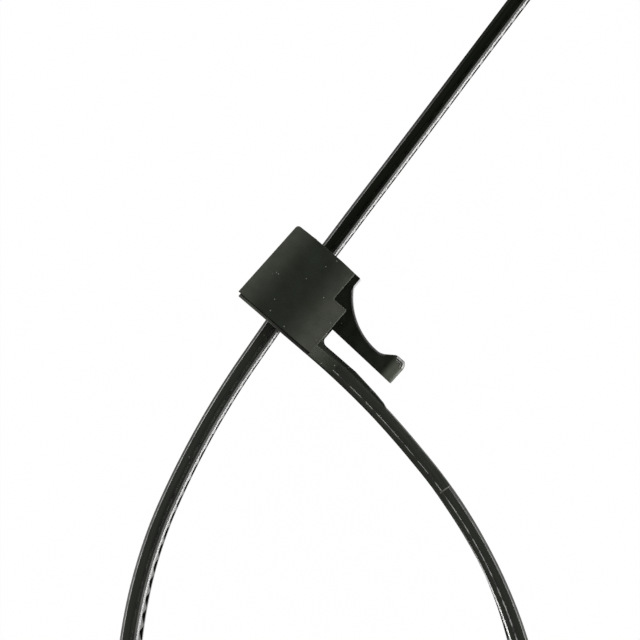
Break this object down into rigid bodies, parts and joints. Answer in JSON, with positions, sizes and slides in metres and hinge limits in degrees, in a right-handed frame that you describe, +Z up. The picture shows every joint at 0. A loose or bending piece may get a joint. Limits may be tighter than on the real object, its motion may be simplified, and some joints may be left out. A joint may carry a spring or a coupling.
{
  "type": "releasable cable tie",
  "caption": "Black nylon releasable cable tie, closed into a loop, with a toothed strap, a square head and a rocking release lever.",
  "frame": {"origin": "on the head's lower side face, half way up the head, in line with the middle of the slot", "axes": "+X from the slot towards the lever's thumb pad, along the strap's root; +Y along the slot towards the free tail; +Z up, across the strap's width"},
  "size_m": [0.0647, 0.1273, 0.011],
  "materials": {
    "nylon": "black nylon, spark-eroded on the head and polished on strap and lever"
  },
  "bodies": {
    "root": {"cable_tie": "nylon"}
  },
  "joints": []
}
